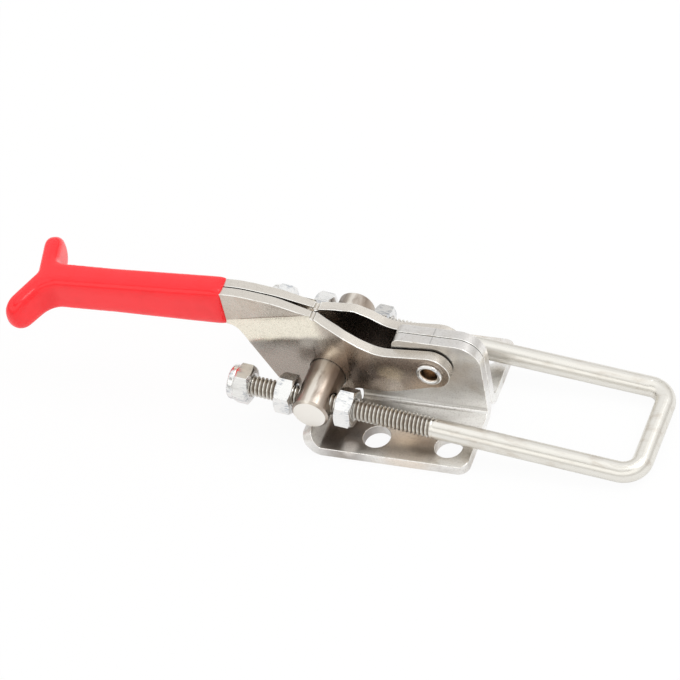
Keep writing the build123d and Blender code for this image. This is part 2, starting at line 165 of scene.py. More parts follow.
class Board:
    """The node tree of one material or of the world."""

    def __init__(self, tree: bpy.types.NodeTree) -> None:
        """Empties a tree, to fill it anew."""
        self.tree = tree
        tree.nodes.clear()

    def add(
        self,
        kind: str,
        settings: dict[str, object] | None = None,
        sockets: Sockets | None = None,
        result: str | int = 0,
    ) -> Wire:
        """Adds a node, gives it its settings and then feeds its sockets.

        Args:
            kind: The node's type.
            settings: Properties of the node.
            sockets: Wires or plain values for its inputs, by name or place.
            result: The output wanted, by name or place.

        Returns:
            The wanted output.
        """
        node = self.tree.nodes.new(kind)
        for name, value in (settings or {}).items():
            setattr(node, name, value)
        for name, value in (sockets or {}).items():
            socket = self._in_use(node.inputs, name)
            if isinstance(value, Wire):
                self.tree.links.new(value.socket, socket)
            else:
                socket.default_value = value
        return Wire(self, self._in_use(node.outputs, result) if len(node.outputs) else None)

    @staticmethod
    def _in_use(sockets: bpy.types.bpy_prop_collection, name: str | int) -> bpy.types.NodeSocket:
        """Finds a socket; of those that share a name, the one in use.

        Args:
            sockets: A node's inputs or outputs.
            name: The socket's name or place.

        Returns:
            The socket.
        """
        if isinstance(name, int):
            return sockets[name]
        return next(socket for socket in sockets if socket.name == name and socket.enabled)

    def place(
        self, centre: Triple = (0, 0, 0), turn: Triple = (0, 0, 0), stretch: Triple = (1, 1, 1)
    ) -> Wire:
        """Object coordinates in millimetres, about a centre, turned and stretched.

        Args:
            centre: Point that becomes the origin, in millimetres.
            turn: Euler angles in radians, about that point.
            stretch: Scale along each turned axis.

        Returns:
            The coordinates.
        """
        place = self.add("ShaderNodeTexCoord", result="Object")
        shift = tuple(-value for value in centre)
        scale = (1 / MM, 1 / MM, 1 / MM)
        middle = self.add("ShaderNodeMapping", {}, {"Vector": place, "Scale": scale, "Location": shift})
        turned = self.add("ShaderNodeMapping", {}, {"Vector": middle, "Rotation": turn})
        return self.add("ShaderNodeMapping", {}, {"Vector": turned, "Scale": stretch})

    def noise(self, at: Wire, grain: Grain) -> Wire:
        """Cloudy noise from 0 to 1.

        Args:
            at: Coordinates in millimetres.
            grain: The pattern.

        Returns:
            The noise.
        """
        values = {
            "Vector": at,
            "Scale": 1 / grain.cell,
            "Detail": grain.detail,
            "Roughness": grain.roughness,
            "Distortion": grain.warp,
        }
        return self.add("ShaderNodeTexNoise", {}, values, "Fac")

    def parts(self, vector: Wire) -> tuple[Wire, Wire, Wire]:
        """A vector's X, Y and Z."""
        apart = self.add("ShaderNodeSeparateXYZ", {}, {0: vector}).socket.node
        return tuple(Wire(self, output) for output in apart.outputs)

    def span(self, vector: Wire) -> Wire:
        """A vector's length."""
        return self.add("ShaderNodeVectorMath", {"operation": "LENGTH"}, {0: vector}, "Value")

    def blend(self, share: Wire | float, first: Wire | Colour, second: Wire | Colour) -> Wire:
        """Mixes two colours.

        Args:
            share: Share of the second.
            first: First colour.
            second: Second colour.

        Returns:
            The mixed colour.
        """
        first, second = (tint if isinstance(tint, Wire) else (*tint, 1.0) for tint in (first, second))
        sockets = {"Factor": share, "A": first, "B": second}
        return self.add("ShaderNodeMix", {"data_type": "RGBA"}, sockets, "Result")

    def bump(self, height: Wire, depth: float, under: Wire | None = None) -> Wire:
        """A bumped normal.

        Args:
            height: Height from 0 to 1.
            depth: Depth of the bumps in millimetres.
            under: Normal that the bumps are added to.

        Returns:
            The normal.
        """
        sockets: Sockets = {"Height": height, "Distance": depth * MM, "Strength": 1.0}
        if under is not None:
            sockets["Normal"] = under
        return self.add("ShaderNodeBump", {}, sockets)


# ---- Finishes --------------------------------------------------------------------


def new_board(name: str) -> tuple[Material, Board]:
    """Starts a material.

    Args:
        name: Name of the material.

    Returns:
        The material and its empty board.
    """
    material = bpy.data.materials.new(name)
    material.use_nodes = True
    return material, Board(material.node_tree)


def metal(colour: Wire, rough: Wire, normal: Wire) -> Sockets:
    """What feeds a Principled shader that is to look like metal."""
    return {"Base Color": colour, "Metallic": 1.0, "Roughness": rough, "Normal": normal}


class Finish(ABC):
    """A finish: it says what feeds its Principled shader, and is made into a material."""

    name: str

    @abstractmethod
    def feeds(self, board: Board) -> Sockets:
        """Works out what feeds the Principled shader.

        Args:
            board: The material's board.

        Returns:
            The feed of each socket that is not left as it is.
        """

    def material(self) -> Material:
        """Builds the material.

        Returns:
            The material.
        """
        material, board = new_board(self.name)
        surface = board.add("ShaderNodeBsdfPrincipled", {}, self.feeds(board))
        board.add("ShaderNodeOutputMaterial", {}, {"Surface": surface})
        return material


@dataclass(frozen=True)
class Bloom:
    """A tint that comes up where a noise is high, to its full share."""

    tint: Colour
    share: float
    start: Range

    def over(self, board: Board, colour: Wire | Colour, cloud: Wire) -> Wire:
        """Lays the bloom over a colour, where a cloud of noise is high."""
        return board.blend(cloud.step(*self.start) * self.share, colour, self.tint)


@dataclass(frozen=True)
class Film:
    """A patch of one tint, about one place of both sides of the part. It draws real marks and seams, and
    also painted highlights, reflections and shade.
    """

    tint: Colour
    share: float
    centre: Triple
    reach: Range
    stretch: Triple = (1.0, 1.0, 1.0)
    ragged: float = 5.0

    def over(self, board: Board, colour: Wire, spot: tuple[Wire, Wire, Wire], cloud: Wire) -> Wire:
        """Lays the patch over a colour.

        Args:
            board: The material's board.
            colour: What lies under it.
            spot: Place along the part, distance from its middle plane and height, in millimetres.
            cloud: Noise from 0 to 1, for the patch's ragged border.

        Returns:
            The colour.
        """
        off = [(part - middle) * share for part, middle, share in zip(spot, self.centre, self.stretch)]
        away = (off[0] * off[0] + off[1] * off[1] + off[2] * off[2]) ** 0.5 + (cloud - 0.5) * self.ragged
        return board.blend((1.0 - away.step(*self.reach)) * self.share, colour, self.tint)


@dataclass(frozen=True)
class Band:
    """A band of one tint below the crease, by the depths at which it starts and is full; a light band is a
    painted highlight and a dark one painted shade.
    """

    tint: Colour
    share: float
    depth: Range


@dataclass(frozen=True)
class Crease:
    """The thin mark that the forming die leaves along the top of the flare, and the bands of painted
    highlight and shade below it.

    It slopes by the pitch, in degrees. Its head and tails are distances from its start.
    """

    start: Triple
    pitch: float
    tail: Range
    bands: tuple[Band, ...]
    head: Range = (0.0, 2.0)
    width: Range = (0.05, 0.32)
    share: float = 0.55
    depth: float = 0.08
    bands_tail: Range = (25.0, 30.0)
    outer_face: Range = (2.3, 2.9)
    ragged: float = 0.4

    def along_and_up(self, board: Board) -> tuple[Wire, Wire]:
        """Distance along the crease and height above it, in millimetres."""
        along, _, up = board.parts(board.place(self.start, (0.0, math.radians(self.pitch), 0.0)))
        return along, up

    def mark(self, board: Board) -> Wire:
        """Draws the mark itself.

        Args:
            board: The material's board.

        Returns:
            The mark, from 0 to 1.
        """
        along, up = self.along_and_up(board)
        ends = along.step(*self.head) * (1.0 - along.step(*self.tail))
        return (1.0 - up.size().step(*self.width)) * ends

    def over(self, board: Board, colour: Wire, across: Wire, cloud: Wire) -> Wire:
        """Lays the bands of painted highlight and shade over a colour, on the outer faces only.

        Args:
            board: The material's board.
            colour: What lies under them.
            across: Distance from the middle plane in millimetres.
            cloud: Noise from 0 to 1, for their ragged borders.

        Returns:
            The colour.
        """
        along, up = self.along_and_up(board)
        fading = (1.0 - along.step(*self.bands_tail)) * across.step(*self.outer_face)
        for band in self.bands:
            deep = (cloud - 0.5) * (band.depth[0] * self.ragged) - up
            colour = board.blend(deep.step(*band.depth) * fading * band.share, colour, band.tint)
        return colour


@dataclass(frozen=True)
class RolledSheet(Finish):
    """Stainless sheet as rolled and tumbled: grained, with straw bloom and brown stain, real marks, and
    patches of painted highlight, reflection and shade.
    """

    name: str = "stainless_sheet_satin"
    silver: Colour = (0.88, 0.87, 0.85)
    straw: Bloom = Bloom((0.72, 0.66, 0.58), 0.6, (0.40, 0.70))
    brown: Bloom = Bloom((0.40, 0.33, 0.27), 0.3, (0.46, 0.76))
    soot: Bloom = Bloom((0.22, 0.19, 0.16), 0.3, (0.44, 0.74))
    cloud: Grain = Grain(8.0, 3.0, 0.55, 0.5)
    stain: Grain = Grain(6.4, 4.0, 0.62, 0.8)
    stain_shift: Triple = (31.0, 7.0, -12.0)
    speck: Grain = Grain(0.5, 3.0, 0.65)
    scratch: Grain = Grain(0.3, 2.0, 0.6)
    scratch_stretch: Triple = (0.12, 1.0, 1.0)
    scratch_share: float = 0.25
    ripple: Grain = Grain(3.5, 1.0)
    ripple_depth: float = 0.04
    grit_depth: float = 0.016
    smoothest: float = 0.22
    speck_roughness: float = 0.18
    films: tuple[Film, ...] = ()
    crease: Crease | None = None
    cut_edge: Colour | None = None
    cut_share: float = 0.85
    facing_side: Range = (0.35, 0.65)
    seam: Film | None = None

    def colour(self, board: Board, at: Wire, grit: Wire) -> Wire:
        """Mixes the sheet's colour.

        Args:
            board: The material's board.
            at: Object coordinates in millimetres.
            grit: Fine grain from 0 to 1.

        Returns:
            The colour.
        """
        cloud = board.noise(at, self.cloud)
        stain = board.noise(board.place(self.stain_shift), self.stain)
        colour = self.straw.over(board, self.silver, cloud)
        colour = self.brown.over(board, colour, stain)
        east, across, up = board.parts(at)
        spot = (east, across.size(), up)
        # Painted highlight and painted shade in bands under the crease.
        if self.crease:
            colour = self.crease.over(board, colour, spot[1], cloud)
        # Real marks, and patches of painted highlight, reflection and shade.
        for patch in self.films:
            colour = patch.over(board, colour, spot, stain)
        if self.cut_edge:
            _, facing, _ = board.parts(board.add("ShaderNodeTexCoord", result="Normal"))
            edge = 1.0 - facing.size().step(*self.facing_side)
            colour = board.blend(edge * self.cut_share, colour, self.cut_edge)
        if self.seam:
            colour = self.seam.over(board, colour, spot, stain)
        return self.soot.over(board, colour, grit)

    def feeds(self, board: Board) -> Sockets:
        """Works out what feeds the Principled shader.

        Args:
            board: The material's board.

        Returns:
            The feed of each socket that is not left as it is.
        """
        at = board.place()
        speck = board.noise(at, self.speck)
        scratch = board.noise(board.place(stretch=self.scratch_stretch), self.scratch)
        grit = speck * (1.0 - self.scratch_share) + scratch * self.scratch_share
        ripple = board.bump(board.noise(at, self.ripple), self.ripple_depth)
        grained = board.bump(grit, self.grit_depth, ripple)
        colour = self.colour(board, at, grit)
        if self.crease:
            mark = self.crease.mark(board)
            colour = board.blend(mark * self.crease.share, colour, self.brown.tint)
            grained = board.bump(1.0 - mark, self.crease.depth, grained)
        return metal(colour, speck * self.speck_roughness + self.smoothest, grained)


@dataclass(frozen=True)
class RubbedEdge(Finish):
    """Rounded edges of the stampings in a lighter, smoother finish: a painted highlight along them."""

    name: str = "stainless_edge_rubbed"
    bright: Colour = (0.97, 0.96, 0.93)
    dull: Bloom = Bloom((0.66, 0.61, 0.54), 0.8, (0.46, 0.72))
    rub: Grain = Grain(2.4, 3.0, 0.6)
    speck: Grain = Grain(0.4, 2.0, 0.6)
    speck_depth: float = 0.006
    smoothest: float = 0.15
    speck_roughness: float = 0.12

    def feeds(self, board: Board) -> Sockets:
        """Works out what feeds the Principled shader.

        Args:
            board: The material's board.

        Returns:
            The feed of each socket that is not left as it is.
        """
        at = board.place()
        colour = self.dull.over(board, self.bright, board.noise(at, self.rub))
        speck = board.noise(at, self.speck)
        rough = speck * self.speck_roughness + self.smoothest
        return metal(colour, rough, board.bump(speck, self.speck_depth))


@dataclass(frozen=True)
class DrawnBar(Finish):
    """Drawn or turned stainless bar: fine tool lines, a darker brown in the roots of a thread, and patches
    of painted highlight and shade where they are given.
    """

    name: str = "stainless_bar_drawn"
    silver: Colour = (0.80, 0.78, 0.73)
    brown: Colour = (0.50, 0.42, 0.34)
    brown_share: float = 0.4
    brown_from: Range = (0.48, 0.74)
    middle: Triple = (0.0, 0.0, 0.0)
    turn: Triple = (0.0, 0.0, 0.0)
    stretch: Triple = (0.03, 1.0, 1.0)
    least_stretch: float = 0.35
    line: Grain = Grain(0.22, 3.0, 0.6)
    cloud: Grain = Grain(3.0, 3.0, 0.6)
    speck: Grain = Grain(0.4, 2.0, 0.6)
    line_wear: float = 0.45
    speck_wear: float = 0.3
    line_height: float = 0.7
    bump_depth: float = 0.006
    smoothest: float = 0.22
    line_roughness: float = 0.08
    cloud_roughness: float = 0.06
    half_spacing: float = 0.0
    root_film: Colour = (0.16, 0.12, 0.09)
    root_share: float = 0.92
    root_roughness: float = 0.2
    root_radius: Range = (2.45, 3.0)
    thread_end: Range = (39.0, 40.0)
    end_face: Range | None = None
    end_colour: Colour = (0.90, 0.87, 0.82)
    films: tuple[Film, ...] = ()

    def thread_roots(self, board: Board) -> Wire:
        """Finds the roots of the thread by their distance from the leg's axis.

        Args:
            board: The material's board.

        Returns:
            How much of the darker brown tint lies at a place, from 0 to 1.
        """
        east, across, up = board.parts(board.place(self.middle, self.turn))
        off = across.size() - self.half_spacing
        away = (off * off + up * up) ** 0.5
        return (1.0 - away.step(*self.root_radius)) * (1.0 - east.step(*self.thread_end))

    def feeds(self, board: Board) -> Sockets:
        """Works out what feeds the Principled shader.

        Args:
            board: The material's board.

        Returns:
            The feed of each socket that is not left as it is.
        """
        at = board.place()
        line = board.noise(board.place(self.middle, self.turn, self.stretch), self.line)
        wide = tuple(max(share, self.least_stretch) for share in self.stretch)
        cloud = board.noise(board.place(self.middle, self.turn, wide), self.cloud)
        speck = board.noise(at, self.speck)
        worn = cloud.step(*self.brown_from) * self.brown_share
        worn = worn + (line - 0.5) * self.line_wear + (speck - 0.5) * self.speck_wear
        colour = board.blend(worn, self.silver, self.brown)
        rough = line * self.line_roughness + self.smoothest + cloud * self.cloud_roughness
        if self.half_spacing:
            roots = self.thread_roots(board)
            colour = board.blend(roots * self.root_share, colour, self.root_film)
            rough = rough + roots * self.root_roughness
        east, across, up = board.parts(at)
        spot = (east, across.size(), up)
        # Patches of painted highlight and shade, where they are given.
        for patch in self.films:
            colour = patch.over(board, colour, spot, cloud)
        if self.end_face:
            colour = board.blend(spot[1].step(*self.end_face), colour, self.end_colour)
        height = line * self.line_height + speck * (1.0 - self.line_height)
        return metal(colour, rough, board.bump(height, self.bump_depth))


@dataclass(frozen=True)
class PlatedSteel(Finish):
    """Bright plated steel of the nuts and the rivet: clean, with faint tool streaks and a grey bloom, and
    painted shade inside the rivet's bore.
    """

    name: str = "bright_steel_plated"
    bright: Colour = (0.86, 0.86, 0.85)
    dull: Colour = (0.36, 0.39, 0.44)
    dull_share: float = 0.75
    cloud: Grain = Grain(3.5, 2.0, 0.5, 0.4)
    cloud_from: Range = (0.42, 0.66)
    streak: Grain = Grain(0.5, 3.0, 0.6)
    streak_from: Range = (0.40, 0.60)
    streak_turn: Triple = (0.0, math.radians(-6.36), math.radians(1.6))
    streak_stretch: Triple = (0.22, 1.0, 1.0)
    speck: Grain = Grain(0.2, 2.0, 0.6)
    streak_depth: float = 0.012
    speck_depth: float = 0.0015
    smoothest: float = 0.11
    bloom_roughness: float = 0.08
    bore_centre: Triple | None = None
    bore_radius: Range = (2.55, 2.95)
    bore_film: Colour = (0.72, 0.60, 0.48)
    bore_share: float = 0.9

    def feeds(self, board: Board) -> Sockets:
        """Works out what feeds the Principled shader.

        Args:
            board: The material's board.

        Returns:
            The feed of each socket that is not left as it is.
        """
        at = board.place()
        cloud = board.noise(at, self.cloud)
        streak = board.noise(board.place(turn=self.streak_turn, stretch=self.streak_stretch), self.streak)
        speck = board.noise(at, self.speck)
        bloom = cloud.step(*self.cloud_from) * streak.step(*self.streak_from)
        colour = board.blend(bloom * self.dull_share, self.bright, self.dull)
        # Painted shade inside the rivet's bore: darker and browner within its radius.
        if self.bore_centre:
            away = board.span(board.place(self.bore_centre, stretch=(1.0, 0.0, 1.0)))
            inside = 1.0 - away.step(*self.bore_radius)
            colour = board.blend(inside * self.bore_share, colour, self.bore_film)
        rough = cloud * self.bloom_roughness + self.smoothest + streak * self.bloom_roughness
        wave = board.bump(streak, self.streak_depth)
        return metal(colour, rough, board.bump(speck, self.speck_depth, wave))


@dataclass(frozen=True)
class DippedVinyl(Finish):
    """Red vinyl as it comes out of the dip tank: even, half glossy, with a faint skin texture."""

    name: str = "red_vinyl_dipped"
    red: Colour = (0.98, 0.010, 0.018)
    deep: Bloom = Bloom((0.86, 0.005, 0.010), 0.5, (0.35, 0.75))
    cloud: Grain = Grain(7.0)
    skin: Grain = Grain(0.5, 2.0, 0.55)
    wave: Grain = Grain(4.0, 1.0)
    skin_depth: float = 0.004
    wave_depth: float = 0.03
    smoothest: float = 0.11
    cloud_roughness: float = 0.06
    skin_roughness: float = 0.08
    refraction: float = 1.54

    def feeds(self, board: Board) -> Sockets:
        """Works out what feeds the Principled shader.

        Args:
            board: The material's board.

        Returns:
            The feed of each socket that is not left as it is.
        """
        at = board.place()
        cloud = board.noise(at, self.cloud)
        skin = board.noise(at, self.skin)
        wave = board.bump(board.noise(at, self.wave), self.wave_depth)
        return {
            "Base Color": self.deep.over(board, self.red, cloud),
            "Roughness": cloud * self.cloud_roughness + self.smoothest + skin * self.skin_roughness,
            "Normal": board.bump(skin, self.skin_depth, wave),
            "IOR": self.refraction,
        }


@dataclass(frozen=True)
class NaturalNylon(Finish):
    """Natural nylon of the lock nuts' rings."""

    name: str = "nylon_natural"
    milk: Colour = (0.80, 0.79, 0.74)
    shade: Colour = (0.62, 0.60, 0.54)
    cloud: Grain = Grain(0.9)
    cloud_depth: float = 0.01
    smoothest: float = 0.42
    cloud_roughness: float = 0.15

    def feeds(self, board: Board) -> Sockets:
        """Works out what feeds the Principled shader.

        Args:
            board: The material's board.

        Returns:
            The feed of each socket that is not left as it is.
        """
        cloud = board.noise(board.place(), self.cloud)
        return {
            "Base Color": board.blend(cloud, self.milk, self.shade),
            "Roughness": cloud * self.cloud_roughness + self.smoothest,
            "Normal": board.bump(cloud, self.cloud_depth),
        }


BASE_SHEET = RolledSheet(
    films=(
        # Painted highlight along the curve of the bend under the ears.
        Film((0.98, 0.975, 0.96), 0.95, (12.0, 5.0, 5.0), (5.0, 9.0), (0.3, 1.0, 1.0), 4.0),
        # Painted shade about the rear hole, a painted sheen along the flange, and the rod's painted shadow
        # in it.
        Film((0.24, 0.20, 0.18), 0.75, (-20.0, 20.0, 3.4), (5.0, 13.0)),
        Film((0.85, 0.75, 0.65), 0.65, (0.0, 22.0, 3.4), (5.0, 12.0)),
        Film((0.38, 0.33, 0.30), 0.6, (4.5, 20.5, 3.4), (1.5, 4.0), (0.5, 1.0, 1.0), 3.0),
        # A painted highlight at the flange's rear corner.
        Film((0.92, 0.87, 0.82), 0.8, (-18.4, 24.6, 3.4), (1.4, 3.4), ragged=2.0),
        # Grey top edges of the ears, and the notch mark across them.
        Film((0.60, 0.58, 0.56), 0.7, (8.0, 0.0, 31.0), (1.5, 4.5), (0.0, 0.0, 1.0), 1.0),
        Film((0.36, 0.35, 0.34), 0.6, (4.8, 0.0, 31.0), (0.1, 0.3), (1.0, 0.0, 0.2), 0.0),
        # A darker patch low on the ears, ahead of the rivet.
        Film((0.60, 0.56, 0.52), 0.5, (14.0, 0.0, 19.0), (3.0, 7.0), (0.5, 0.0, 1.0)),
    ),
    seam=Film((0.10, 0.09, 0.08), 0.9, (0.0, 0.0, 0.0), (0.14, 0.2), (0.0, 1.0, 0.0), 0.0),
)

HANDLE_SHEET = RolledSheet(
    "stainless_sheet_toned",
    silver=(0.64, 0.585, 0.52),
    straw=Bloom((0.56, 0.475, 0.385), 0.45, (0.40, 0.70)),
    brown=Bloom((0.30, 0.22, 0.17), 0.22, (0.46, 0.76)),
    films=(
        # Painted reflection of the flange and hardware in brown over the whole arm, with painted shade
        # behind its middle and along its top.
        Film((0.44, 0.35, 0.28), 0.75, (-8.0, 7.0, 14.0), (16.0, 30.0), (1.0, 0.0, 1.0)),
        Film((0.25, 0.205, 0.18), 0.8, (-17.0, 7.0, 18.5), (3.0, 8.0), (0.6, 0.0, 1.0), 9.0),
        Film((0.22, 0.17, 0.145), 0.6, (-3.0, 7.0, 24.5), (1.5, 4.5), (0.35, 0.0, 1.0), 4.0),
        # Painted straw highlights on the arm, and one above the pin.
        Film((1.0, 0.85, 0.65), 0.85, (-8.0, 7.0, 19.5), (1.0, 4.5), (0.7, 0.0, 1.0)),
        Film((0.84, 0.74, 0.64), 0.8, (-10.5, 7.0, 14.0), (1.5, 4.5), (0.6, 0.0, 1.0)),
        Film((0.88, 0.78, 0.66), 0.8, (-27.5, 6.0, 25.5), (1.5, 5.0), (1.0, 0.0, 1.0)),
        # Painted shade on the inner faces of the fork.
        Film((0.12, 0.10, 0.09), 0.8, (-12.0, 0.0, 20.0), (4.5, 5.2), (0.25, 1.0, 0.0), 0.4),
    ),
    crease=Crease(
        start=(-57.5, 0.0, 31.0),
        pitch=13.1,
        tail=(20.5, 23.0),
        bands=(
            # A painted highlight just below the crease, then two bands of painted shade lower down.
            Band((0.95, 0.90, 0.77), 0.85, (0.0, 0.25)),
            Band((0.36, 0.325, 0.31), 0.75, (6.4, 8.8)),
            Band((0.44, 0.385, 0.34), 0.75, (10.6, 13.5)),
        ),
    ),
    cut_edge=(0.70, 0.665, 0.61),
    seam=Film((0.04, 0.035, 0.03), 1.0, (0.0, 0.0, 0.0), (0.24, 0.32), (0.0, 1.0, 0.0), 0.0),
    smoothest=0.19,
)

PIN_BAR = DrawnBar(
    "stainless_pin_turned",
    (0.56, 0.50, 0.44),
    (0.27, 0.21, 0.17),
    brown_share=0.85,
    stretch=(1.0, 0.04, 1.0),
    smoothest=0.28,
    end_face=(23.18, 23.26),
    films=(
        # Painted shade behind and ahead of a painted highlight along its top.
        Film((0.20, 0.165, 0.14), 0.8, (-34.0, 12.0, 18.5), (2.0, 4.6), (1.0, 0.25, 1.0), 3.0),
        Film((0.36, 0.28, 0.22), 0.7, (-25.4, 12.0, 17.5), (1.5, 4.0), (1.0, 0.25, 1.0), 3.0),
        Film((0.90, 0.86, 0.79), 0.7, (-29.9, 12.0, 20.2), (0.4, 1.3), (1.0, 0.0, 1.0), 2.6),
    ),
)


# ---- Bench: from bmesh to placed piece -------------------------------------------


def mesh_from(shape: Shape, name: str) -> bpy.types.Mesh:
    """Turns a bmesh into a named mesh.

    Args:
        shape: The bmesh; it is freed.
        name: Name of the mesh.

    Returns:
        The mesh.
    """
    mesh = bpy.data.meshes.new(name)
    shape.to_mesh(mesh)
    shape.free()
    return mesh


def linked(name: str, data: bpy.types.ID) -> Piece:
    """Brings a mesh, camera or light into the scene.

    Args:
        name: Name of its object.
        data: The mesh, camera or light.

    Returns:
        The object.
    """
    item = bpy.data.objects.new(name, data)
    bpy.context.scene.collection.objects.link(item)
    return item


def place_piece(
    shape: Shape,
    name: str,
    body: str,
    finish: Material,
    stands_for: Sequence[str],
    place: Matrix | None = None,
    sharp_from: float = 35.0,
) -> Piece:
    """Turns a finished bmesh into a piece that rides on a body.

    Args:
        shape: The shape in millimetres; it is freed.
        name: Name of the piece.
        body: Body that it moves with.
        finish: Its material.
        stands_for: CAD nodes that it replaces.
        place: Where the shape's own frame lies in the part's, in millimetres.
        sharp_from: Angle in degrees from which an edge stays sharp.

    Returns:
        The piece.
    """
    shape.transform(Matrix.Scale(MM, 4) @ (place or Matrix.Identity(4)))
    mesh = mesh_from(shape, name)
    mesh.materials.append(finish)
    mesh.shade_smooth()
    mesh.set_sharp_from_angle(angle=math.radians(sharp_from))
    piece = linked(name, mesh)
    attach(piece, body)
    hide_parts(*stands_for)
    return piece


def merged_copy(node: Piece, flat_within: float = 0.6) -> Shape:
    """A copy of a CAD node's mesh in millimetres, with its triangles joined into flat faces.

    Args:
        node: The CAD node, which is left as it is.
        flat_within: Angle in degrees up to which two triangles count as one face.

    Returns:
        The copy.
    """
    shape = bmesh.new()
    shape.from_mesh(node.data)
    shape.transform(Matrix.Scale(1 / MM, 4))
    bmesh.ops.remove_doubles(shape, verts=shape.verts, dist=WELD)
    bmesh.ops.dissolve_limit(
        shape, angle_limit=math.radians(flat_within), verts=shape.verts, edges=shape.edges
    )
    return shape


def surface_of(node: Piece) -> BVHTree:
    """A CAD node's surface in millimetres, for finding what lies near it."""
    verts = [vert.co / MM for vert in node.data.vertices]
    return BVHTree.FromPolygons(verts, [face.vertices for face in node.data.polygons])


def remeshed(shape: Shape, cell: float) -> Shape:
    """A closed shape with its surface divided into even small squares.

    Args:
        shape: The shape in millimetres; it is freed.
        cell: Side of the squares in millimetres.

    Returns:
        The new shape.
    """
    mesh = mesh_from(shape, "blank")
    blank = linked("blank", mesh)
    remesh = blank.modifiers.new("even", "REMESH")
    remesh.mode = "VOXEL"
    remesh.voxel_size = cell
    drawn = bpy.context.evaluated_depsgraph_get()
    even = bmesh.new()
    even.from_mesh(blank.evaluated_get(drawn).to_mesh())
    bpy.data.objects.remove(blank)
    bpy.data.meshes.remove(mesh)
    return even


def part_seam(shape: Shape, side: Side, gap: Callable[[Vector], float], reach: float = 0.02) -> None:
    """Draws a half's inner face back from the middle plane, so that the seam shows as a dark line.

    Args:
        shape: The half in millimetres, in the part's frame.
        side: Which half it is.
        gap: Distance to draw back at a place, in millimetres.
        reach: Distance from the middle plane within which a vertex is on the inner face.
    """
    for vert in shape.verts:
        if abs(vert.co.y) < reach:
            vert.co.y = side.value * gap(vert.co)


def soften(
    piece: Piece,
    width: float,
    segments: int = 2,
    angle: float = 32.0,
    worn: Material | None = None,
    clamp: bool = True,
) -> None:
    """Rounds a piece's sharp edges.

    Args:
        piece: The piece.
        width: Width of the rounding in millimetres.
        segments: Faces across it.
        angle: Angle in degrees from which an edge is rounded.
        worn: Finish of the rounded edges, where it differs from the piece's own.
        clamp: Whether the shortest edge limits the width.
    """
    if worn is not None:
        piece.data.materials.append(worn)
    bevel = piece.modifiers.new("soft_edges", "BEVEL")
    bevel.width = width * MM
    bevel.segments = segments
    bevel.limit_method = "ANGLE"
    bevel.angle_limit = math.radians(angle)
    bevel.harden_normals = True
    bevel.use_clamp_overlap = clamp
    bevel.material = 0 if worn is None else 1


def dress_node(node: Piece, finish: Material) -> None:
    """Gives a CAD node that stays in view its finish."""
    node.data.materials.clear()
    node.data.materials.append(finish)


def chain(shape: Shape, points: Iterable[Triple]) -> Ring:
    """An open chain of edges through some points, added to a shape."""
    verts = [shape.verts.new(point) for point in points]
    return [shape.edges.new(pair) for pair in zip(verts, verts[1:])]


def ring_on(shape: Shape, ring: Ring, move: Callable[[Vector], Vector]) -> Ring:
    """Extrudes a ring of edges and moves the new one.

    Args:
        shape: The bmesh.
        ring: The open ring.
        move: Gives a vertex its new place.

    Returns:
        The new ring.
    """
    new = bmesh.ops.extrude_edge_only(shape, edges=ring)["geom"]
    verts = {item for item in new if isinstance(item, bmesh.types.BMVert)}
    for vert in verts:
        vert.co = move(vert.co.copy())
    return [item for item in new if isinstance(item, bmesh.types.BMEdge) and verts.issuperset(item.verts)]


def turned(profile: Iterable[Range], steps: int) -> Shape:
    """A turned shape about Z.

    Args:
        profile: Closed profile as radius and height, its last point joined to its first.
        steps: Faces round the axis.

    Returns:
        The shape.
    """
    shape = bmesh.new()
    edges = chain(shape, [(radius, 0.0, height) for radius, height in profile])
    edges.append(shape.edges.new((edges[-1].verts[1], edges[0].verts[0])))
    bmesh.ops.spin(
        shape,
        geom=list(shape.verts) + edges,
        cent=(0, 0, 0),
        axis=(0, 0, 1),
        angle=math.tau,
        steps=steps,
        use_merge=True,
    )
    bmesh.ops.remove_doubles(shape, verts=shape.verts, dist=FINE_WELD)
    bmesh.ops.recalc_face_normals(shape, faces=shape.faces)
    return shape


# ---- The U-bar's plane -----------------------------------------------------------


@dataclass(frozen=True)
class RodPlane:
    """The plane of the U-bar: X along the legs, Y across them, origin on the trunnion pin's axis."""

    pin: Triple = (-29.9, 0.0, 14.4)
    rod_radius: float = 3.175
    reach: float = 101.4
    skew: float = 1.6
    half_spacing: float = 17.1

    def frame(self) -> Matrix:
        """Works out the plane's own frame.

        Returns:
            The frame as a matrix into the part's frame, in millimetres.
        """
        drop = (self.pin[2] - self.rod_radius) / self.reach
        level = math.sqrt(1 - drop**2)
        turn = math.radians(self.skew)
        along = Vector((level * math.cos(turn), -level * math.sin(turn), -drop))
        across = Vector((math.sin(turn), math.cos(turn), 0.0))
        normal = along.cross(across)
        return Matrix.Translation(self.pin) @ Matrix((along, across, normal)).transposed().to_4x4()

    def turn_back(self) -> Triple:
        """Euler angles that turn the part's frame onto the plane's own."""
        return tuple(self.frame().to_3x3().inverted().to_euler("XYZ"))

    def crossing(self, side: Side) -> float:
        """Distance along a leg at which it crosses the pin's axis."""
        return -side.value * self.half_spacing * math.tan(math.radians(self.skew))

    def on_leg(self, distance: float, side: Side) -> Matrix:
        """Frame on a leg, some distance ahead of the pin, with Z along the leg and X across both legs."""
        turn = Matrix(((0, 0, 1), (1, 0, 0), (0, 1, 0))).to_4x4()
        return self.frame() @ Matrix.Translation((distance, side.value * self.half_spacing, 0)) @ turn


# ---- Threaded U-bar --------------------------------------------------------------


